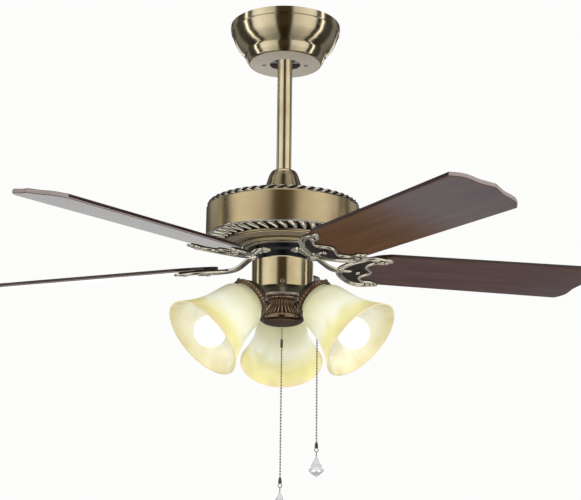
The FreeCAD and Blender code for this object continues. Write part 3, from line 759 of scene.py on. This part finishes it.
def iron_outline():
    """Leaf-shaped edge of an iron's medallion, one half and then its mirror image."""
    half = [(150, 0), (136, 20), (146, 35), (163, 37.5), (168.5, 43.5), (163, 49.5)]
    half += [(142, 52.5), (122, 43), (106, 27), (94, 9)]
    return half + [(x, -y) for x, y in half[::-1] if y > 0]


def iron_medallion(parts, place):
    """Cast plate under the blade's root, dark with patina and painted shade, with polished scroll bars
    standing on it.
    """
    seat = -BLADE_THICKNESS / 2
    border = spline([(x, y, seat - 4.2) for x, y in iron_outline()], 5, closed=True)
    plate = flat_plate([(p.x, p.y) for p in border], seat - 3.2, seat)
    # Patina and painted shade: the whole plate is fully darkened, as the recesses under the scroll bars.
    parts.add(*moved(plate, place), 1.0)
    parts.add(*moved(sweep(border, 2.1, 2.2, 8, closed=True), place))
    stem = [(97, 3), (106, 19), (118, 34), (136, 44.5), (152, 46)]
    hook = [(160, 49.5), (169, 49), (174, 46), (170, 41.5)]
    bars = [([(96, 0), (106, 0), (117, 0)], 2.0)]
    for side in (-1, 1):
        bars += [([(x, y * side) for x, y in line], width) for line, width in ((stem, 1.6), (hook, 2.2))]
    for bar, half_width in bars:
        line = spline([(x, y, seat - 4.0) for x, y in bar], 5)
        parts.add(*moved(sweep(line, half_width, 2.2, 8, shares=tapered), place))
    # The screw bosses are fully darkened too, as painted shade round the bright screw heads.
    for x, y in ((128, 0), (157, 43.5), (157, -43.5)):
        profile = [(0, seat - 6.0), (4.6, seat - 6.0), (5.2, seat - 5.4), (5.4, seat - 0.5)]
        parts.add(*moved(lathe(profile, 20), place @ Matrix.Translation((x, y, 0))), 1.0)


def iron_arm(parts, place):
    """The S-shaped strap with bright rolled edges, and its pad under the flywheel."""
    rise = 11.0
    line = [(46, rise), (58, rise), (66, rise - 5), (76, -1), (88, -5.8), (103, -6.4)]
    middle = spline([(x, 0, z - 0.4) for x, z in line], 6)
    parts.add(*moved(sweep(middle, 6.6, 1.6, 10), place), 0.6)
    for side in (-1, 1):
        edge = spline([(x, side * 6.3, z) for x, z in line], 6)
        parts.add(*moved(sweep(edge, 1.5, 2.3, 8), place))
    pad = flat_plate([(43.5, -11), (58.5, -11), (58.5, 11), (43.5, 11)], rise - 2, rise + 1.9)
    parts.add(*moved(pad, place))


def blade_irons():
    for number in range(BLADE_COUNT):
        parts = Parts()
        iron_medallion(parts, blade_place(number))
        level = turn_z(FIRST_BLADE + 360 / BLADE_COUNT * number) @ Matrix.Translation((0, 0, BLADE_Z))
        iron_arm(parts, level)
        piece = parts.piece(f"scrolled_iron_{number + 1}", 50)
        finish_piece(piece, "rotor", CAST, f"blade_iron_{number + 1}")


# --- Light kit --------------------------------------------------------------------------------


def fluted_bell():
    """Bell with 26 rounded flutes that fade out at its smooth collar and rim."""
    top = KIT_BOTTOM - 11
    flutes = 26
    turns = flutes * 12
    profile = [(28, top - 0.3), (28.8, top - 1.3), (27, top - 3), (21.6, top - 6.2), (19.3, top - 10.6)]
    profile += [(20.6, top - 16.6), (24.8, top - 23.6), (30.8, top - 29.6), (35.2, top - 33)]
    profile += [(36.2, top - 34.4), (35.2, BELL_RIM)]
    outline = spline(profile, 6)

    def depth(height):
        return min(1.0, max(0.0, (top - 4 - height) / 3.0), max(0.0, (height - BELL_RIM - 1.6) / 2.5))

    def ripple(radius, height, angle):
        return -0.10 * radius * depth(height) * (1 - abs(math.sin(flutes * angle / 2))) ** 1.2

    vertices, faces = lathe(outline, turns, ripple)
    patina_and_shade = []
    for radius, height in outline:
        for j in range(turns):
            groove = (1 - abs(math.sin(math.pi * flutes * j / turns))) ** 1.3
            patina_and_shade.append(min(1.0, 1.7 * groove * depth(height)))
    parts = Parts()
    parts.add(vertices, faces, patina_and_shade)
    inside = [(28, top - 0.3), (22, top - 1.6), (16.6, top - 6), (16, top - 11), (17.6, top - 17)]
    inside += [(21.8, top - 24), (27.8, top - 30), (33, top - 34), (35.2, BELL_RIM)]
    parts.add(*lathe(spline(inside, 3), 96), 0.6)
    piece = parts.piece("fluted_bell_shell", 70)
    finish_piece(piece, "fan_body", BRONZE, "fluted_bell")


def bottom_finial():
    """Shallow bowl under the bell, with a small nipple that the light chain leaves by."""
    top = BELL_RIM - 0.1
    bowl = [(36.2, top - 1.4), (35.9, top - 3.4), (34.2, top - 5.3), (30.3, top - 8), (24.5, top - 10.2)]
    bowl += [(16.5, top - 11.9), (9, top - 12.8), (5.4, top - 13.2)]
    rim = vectors([(2.2, top - 4), (24, top - 3), (31.5, top - 0.2), (34.8, top), (35.8, top - 0.5)])
    tip = vectors([(4.4, FINIAL_TIP), (2.2, FINIAL_TIP), (2.2, top - 4)])
    outline = rim + spline(bowl, 5) + tip
    # Painted shade: the bowl darkens from its bright rim in towards the tip underneath.
    shade = [min(1.0, max(0.0, (33.5 - p.x) / 5)) * 0.97 for p in outline]
    piece = turned_piece("bottom_finial", outline, 144, 60, shade)
    finish_piece(piece, "fan_body", BRONZE, "finial")


def shade_holder_shape():
    """A cup with a broad ribbed band where it grips the glass collar."""
    ribs = 36
    profile = [(0, CUP_DEPTH), (17, CUP_DEPTH), (21, CUP_DEPTH - 3), (26.5, CUP_DEPTH - 9)]
    profile += [(29.6, CUP_DEPTH - 13)]
    band = [(31.8, CUP_DEPTH - 14.6), (33.4, CUP_DEPTH - 16), (34.2, 112.4), (34.2, 109), (33.4, 107.2)]
    band += [(32.4, 106.8)]
    inside = [(30.6, 107), (30.2, 112), (28.5, 116), (25.4, 122.5), (16.6, 129), (0, 129)]
    outline = softened(profile, 2.4) + vectors(band + inside)

    def on_band(radius):
        return min(1.0, max(0.0, (radius - 31.6) / 1.6))

    def groove(angle):
        return max(0.0, math.cos(ribs * angle)) ** 4

    def ripple(radius, height, angle):
        return -1.3 * on_band(radius) * groove(angle)

    turns = ribs * 8
    vertices, faces = lathe(outline, turns, ripple)
    patina_and_shade = [on_band(p.x) * groove(2 * math.pi * j / turns) for p in outline for j in range(turns)]
    return vertices, faces, patina_and_shade


def shade_holders():
    vertices, faces, patina_and_shade = shade_holder_shape()
    parts = Parts()
    for number in range(SHADE_COUNT):
        parts.add(*moved((vertices, faces), shade_place(number)), patina_and_shade)
    piece = parts.piece("ribbed_shade_holders", 60)
    finish_piece(piece, "fan_body", BRONZE, "shade_holders")


def glass_profile():
    """The bell's section from the mouth up its outside and back down its inside, and where it is inside."""
    outer = [(70.8, 0), (66.6, 7), (60, 19), (53.4, 34), (48.2, 49), (44.8, 65), (42.4, 80)]
    outer += [(39.6, 92), (34.6, 100), (29.6, 104.5), (28.4, 112)]
    inner = [(25.4, 112), (26.6, 102), (31.8, 97), (36.6, 90), (39.4, 79), (42, 64), (45.4, 48)]
    inner += [(50.6, 33), (57.2, 18), (63.8, 6.4), (67.8, -0.6)]
    outside = spline(outer, 5)
    inside = spline(inner, 5)
    lip = vectors([(68.6, -1.1), (69.8, -1.0), (70.8, 0)])
    return outside + inside + lip, [0.0] * len(outside) + [1.0] * len(inside) + [0.7, 0.3, 0.0]


def glass_shades():
    outline, inside = glass_profile()
    for number in range(SHADE_COUNT):
        piece = turned_piece(f"bell_glass_{number + 1}", outline, 96, 60, inside, shade_place(number))
        finish_piece(piece, "fan_body", ALABASTER, f"glass_shade_{number + 1}")


def bulb_profile():
    """A round globe on a neck, with a screw thread below it."""
    globe = []
    for degrees in range(0, 133, 6):
        angle = math.radians(degrees)
        globe.append((25 * math.sin(angle), 18 - 25 * math.cos(angle)))
    neck = [(15.2, 41), (14, 52), (13.8, 66), (13.8, 79)]
    thread = []
    for k in range(7):
        thread += [(13.2, 80 + 3 * k), (12.4, 81.5 + 3 * k)]
    return vectors(globe + neck + thread + [(6, 104.4), (0, 104.4)])


def bulbs():
    profile = bulb_profile()
    for number in range(SHADE_COUNT):
        piece = turned_piece(f"frosted_bulb_{number + 1}", profile, 48, 60, place=shade_place(number))
        finish_piece(piece, "fan_body", BULB, f"bulb_{number + 1}")


# --- Pull chains ------------------------------------------------------------------------------


def read_route(points):
    """The points of a smooth NURBS line through the route's control points, in metres."""
    curve = bpy.data.curves.new("route", "CURVE")
    curve.dimensions = "3D"
    line = curve.splines.new("NURBS")
    line.points.add(len(points) - 1)
    for target, point in zip(line.points, points):
        target.co = (*point, 1)
    line.order_u = 3
    line.use_endpoint_u = True
    line.resolution_u = 24
    holder = bpy.data.objects.new("route", curve)
    mesh = bpy.data.meshes.new_from_object(holder)
    route = [vertex.co.copy() for vertex in mesh.vertices]
    bpy.data.objects.remove(holder)
    bpy.data.meshes.remove(mesh)
    bpy.data.curves.remove(curve)
    return route


def along(route, spacing):
    """Points spaced evenly along the route."""
    made = [route[0]]
    left = spacing
    for start, end in zip(route, route[1:]):
        length = (end - start).length
        while length >= left and length > 0:
            start = start.lerp(end, left / length)
            made.append(start)
            length -= left
            left = spacing
        left -= length
    return made


def ball_chain(name, body, points, replaced):
    """Beads on a thin link wire, hanging straight from its exit."""
    route = read_route([Vector(p) * MM for p in points])
    parts = Parts()
    for bead in along(route, BEAD_PITCH * MM):
        parts.add(*ball(bead / MM, BEAD_DIAMETER / 2))
    wire = [p / MM for p in route]
    parts.add(*sweep(wire, 0.45, 0.45, 6, up=(0, 1, 0)), 0.7)
    piece = parts.piece(name, 80)
    finish_piece(piece, body, CHAIN, replaced)
    length = sum((b - a).length for a, b in zip(route, route[1:]))


def crystal_drop(name, body, centre, top, replaced):
    """A faceted drop, widest below its middle."""
    parts = Parts()
    sides = 8
    levels = [(0.4, 2.0, 0), (6, 4.6, 1), (12, 7.8, 0), (17, 11.0, 1)]
    levels += [(21.5, 13.1, 0), (24.6, 10.2, 1), (28, 5.4, 0), (30.7, 1.2, 1)]
    vertices = []
    for drop, radius, phase in levels:
        for i in range(sides):
            angle = 2 * math.pi * (i + phase / 2) / sides
            x = centre[0] + radius * math.cos(angle)
            y = centre[1] + radius * math.sin(angle)
            vertices.append((x, y, top - drop))
    faces = [list(range(sides))]
    for level in range(len(levels) - 1):
        lean = levels[level][2]
        for i in range(sides):
            a = level * sides + i
            b = level * sides + (i + 1) % sides
            c = (level + 1) * sides + i
            d = (level + 1) * sides + (i + 1) % sides
            faces += [[a, c, d], [a, d, b]] if lean else [[a, c, b], [b, c, d]]
    last = (len(levels) - 1) * sides
    faces.append([last + i for i in range(sides)][::-1])
    parts.add(vertices, faces)
    piece = parts.piece(name, 1)
    finish_piece(piece, body, CRYSTAL, replaced)
    return piece


def pull_chain(kind, x, y, top, end):
    """A chain and its crystal, from its top inside the fan to its end."""
    body = f"{kind}_pull"
    drop = crystal_drop(f"{kind}_chain_crystal", body, (x, y), end - CRYSTAL_HANG, f"{kind}_chain_pendant")
    route = [(x, y, top), (x, y, (top + end) / 2), (x, y, end)]
    ball_chain(f"{kind}_ball_chain", body, route, f"{kind}_pull_chain")


def pull_chains():
    pull_chain("light", 0, 0, LIGHT_CHAIN_TOP, LIGHT_CHAIN_END)
    angle = math.radians(FAN_CHAIN_AZIMUTH)
    x = FAN_CHAIN_REACH * math.cos(angle)
    y = FAN_CHAIN_REACH * math.sin(angle)
    pull_chain("fan", x, y, FAN_CHAIN_TOP, FAN_CHAIN_END)


# --- Stage ------------------------------------------------------------------------------------


# The camera, the floor and the lamps are placed in metres
CAMERA_PLACE = (0, -2.133, -0.919)
CAMERA_LENS = 82.9
CAMERA_PITCH = math.radians(13.90)
CAMERA_YAW = math.radians(0.34)
CAMERA_ROLL = math.radians(0.62)
FLOOR_HALF = 6.0
FLOOR_GAP = 0.55
LAMP_AIM = (0, 0, -0.4)
LAMP_SIZE = 1.2
LAMP_POWER = 7.5
LAMP_SPREAD = math.radians(110)


def camera():
    """A viewpoint in front of the fan and a little below it, looking slightly up."""
    data = bpy.data.cameras.new("camera")
    data.lens = CAMERA_LENS
    data.sensor_width = 36
    data.clip_end = 50
    piece = bpy.data.objects.new("camera", data)
    bpy.context.scene.collection.objects.link(piece)
    bpy.context.scene.camera = piece
    flat = Vector((math.sin(CAMERA_YAW), math.cos(CAMERA_YAW), 0))
    ahead = flat * math.cos(CAMERA_PITCH) + Vector((0, 0, math.sin(CAMERA_PITCH)))
    level = Vector((math.cos(CAMERA_YAW), -math.sin(CAMERA_YAW), 0))
    upright = level.cross(ahead)
    right = level * math.cos(CAMERA_ROLL) + upright * math.sin(CAMERA_ROLL)
    up = upright * math.cos(CAMERA_ROLL) - level * math.sin(CAMERA_ROLL)
    place = Matrix((right, up, -ahead)).transposed().to_4x4()
    place.translation = CAMERA_PLACE
    piece.matrix_world = place


def floor_paint():
    """Matt pale paint. It looks a little brighter than the light it gives back to the fan."""
    graph = Graph("floor_paint")
    speckle = graph.noise(3, 4)
    graph.into("Base Color", graph.ramp(speckle, [(0.3, (0.74, 0.74, 0.73)), (0.7, (0.8, 0.8, 0.79))]))
    graph.into("Roughness", graph.ramp(speckle, [(0.3, 0.51), (0.7, 0.72)]))
    graph.into("Emission Color", graph.ramp(speckle, [(0.3, (0.97, 0.97, 0.96)), (0.7, (1.0, 1.0, 0.99))]))
    to_the_eye = graph.new("ShaderNodeLightPath").outputs["Is Camera Ray"]
    graph.into("Emission Strength", graph.math("MULTIPLY", to_the_eye, 0.42))
    graph.bump(speckle, 0.02, 0.0003)
    return graph.material


def floor():
    """A plain floor well below the chains' crystals."""
    drop = cad_box[0].z - FLOOR_GAP
    mesh = bpy.data.meshes.new("floor")
    corners = [(FLOOR_HALF * x, FLOOR_HALF * y, drop) for x, y in ((-1, -1), (1, -1), (1, 1), (-1, 1))]
    mesh.from_pydata(corners, [], [(0, 1, 2, 3)])
    piece = bpy.data.objects.new("floor", mesh)
    bpy.context.scene.collection.objects.link(piece)
    piece.data.materials.append(floor_paint())


def from_front(nodes, azimuth, turn):
    """0 at the front to 1 at the back on either side, with the front turned a little to one side."""
    return nodes.math("MULTIPLY", nodes.math("ABSOLUTE", nodes.math("ADD", azimuth, turn)), 1 / math.pi)


def panels(nodes, side, edge, strip, outer, gap=116, core=(0.055, 0.040, 0.022)):
    """Upright soft panels with dark gaps, in degrees from the front at 0 to the back at 180.

    The core is the dark gap at the front. The front panel ends at the edge, and a narrow strip
    (start, end, brightness) stands beyond it. A dim outer panel follows after the next gap.
    """
    start, end, bright = strip
    stops = [(0, core), (16, core), (21, 0.75), (58, 1.1), (edge - 5, 1.0), (edge, 0.03)]
    stops += [(start - 2, 0.03), (start, bright), (end, bright), (end + 3, 0.05)]
    stops += [(gap, 0.06), (gap + 8, outer), (136, outer * 0.8), (148, 0.1)]
    return nodes.ramp(side, [(place / 180, colour) for place, colour in stops])


def back_panels(nodes, level):
    """Level panels behind the fan, which the undersides and edges of the blades mirror."""
    stops = [(0.0, 0.2), (0.05, 0.3), (0.075, (1.4, 1.35, 1.15)), (0.15, (1.4, 1.35, 1.15)), (0.17, 0.12)]
    stops += [(0.195, (0.20, 0.18, 0.25)), (0.215, (0.18, 0.17, 0.24)), (0.232, (0.46, 0.54, 0.64))]
    stops += [(0.254, (0.54, 0.62, 0.72)), (0.263, (0.30, 0.14, 0.03)), (0.276, (0.24, 0.11, 0.02))]
    stops += [(0.299, 0.02), (0.306, (0.72, 0.75, 0.90)), (0.328, (0.72, 0.75, 0.90)), (0.34, 0.08)]
    stops += [(0.5, 0.1), (0.52, 0.7), (0.553, 0.7), (0.572, 1.3), (0.60, 1.3), (0.62, 0.06)]
    return nodes.ramp(level, stops)


def front_panels(nodes, azimuth, side, height, level):
    """Upright panels, each height of the world with its own edges, for a different part of the fan."""
    low = panels(nodes, side, 74, (86, 89.5, 2.2), 0.24)
    middle = panels(nodes, side, 80, (99, 105, 1.5), 0.12)
    middle = nodes.mix(1.0, middle, (0.80, 0.75, 0.62), "MULTIPLY")
    turned = from_front(nodes, azimuth, -0.035)
    high = panels(nodes, turned, 91, (96, 99, 0.02), 0.7, gap=110, core=(0.13, 0.097, 0.053))
    front = low
    for bottom, top, above in ((0.1, 0.16, middle), (0.24, 0.27, high), (0.35, 0.37, low)):
        front = nodes.mix(nodes.fraction(height, bottom, top), front, above)
    fall = [(0.0, 0.2), (0.06, 0.3), (0.33, 1.0), (0.75, 1.0), (0.87, 0.45), (1.0, 0.45)]
    return nodes.mix(1.0, front, nodes.ramp(level, fall), "MULTIPLY")


def world():
    """White to the eye. For light and reflections, a studio of tall soft panels with dark gaps."""
    made = bpy.data.worlds.new("studio")
    bpy.context.scene.world = made
    made.use_nodes = True
    made.node_tree.nodes.clear()
    nodes = Nodes(made.node_tree)
    direction = nodes.new("ShaderNodeSeparateXYZ")
    nodes.link(nodes.new("ShaderNodeTexCoord").outputs["Generated"], direction.inputs[0])
    right, away, height = direction.outputs
    azimuth = nodes.math("ARCTAN2", right, nodes.math("MULTIPLY", away, -1))
    side = from_front(nodes, azimuth, 0.05)
    level = nodes.fraction(height, -1, 1)
    front = front_panels(nodes, azimuth, side, height, level)
    lit = nodes.mix(nodes.fraction(side, 0.82, 0.86), front, back_panels(nodes, level))
    lit = nodes.mix(nodes.fraction(height, 0.87, 0.95), lit, (1.0, 1.0, 1.0))
    seen = nodes.mix(nodes.new("ShaderNodeLightPath").outputs["Is Camera Ray"], lit, (0.98, 0.98, 0.97))
    background = nodes.new("ShaderNodeBackground")
    nodes.link(seen, background.inputs["Color"])
    nodes.link(background.outputs[0], nodes.new("ShaderNodeOutputWorld").inputs["Surface"])


def soft_light(name, place):
    data = bpy.data.lights.new(name, "AREA")
    data.shape = "SQUARE"
    data.size = LAMP_SIZE
    data.energy = LAMP_POWER
    data.spread = LAMP_SPREAD
    piece = bpy.data.objects.new(name, data)
    bpy.context.scene.collection.objects.link(piece)
    piece.location = place
    piece.rotation_euler = (Vector(LAMP_AIM) - Vector(place)).to_track_quat("-Z", "Y").to_euler()


def plain_reflections():
    """Polished surfaces mirror only the soft panels of the world, as in a retouched catalogue view."""
    for piece in bpy.context.scene.objects:
        piece.visible_glossy = False


camera()
pull_chains()
paint_frame()
spun_canopy()
stepped_trim_ring()
upper_rope_trim()
lower_vent_ring()
blades()
blade_irons()
fluted_bell()
bottom_finial()
shade_holders()
glass_shades()
bulbs()
floor()
world()
soft_light("front_left", (-1.6, -2.2, -1.0))
soft_light("front_right", (1.8, -1.8, -0.2))
plain_reflections()
bpy.context.scene.view_settings.view_transform = "Standard"
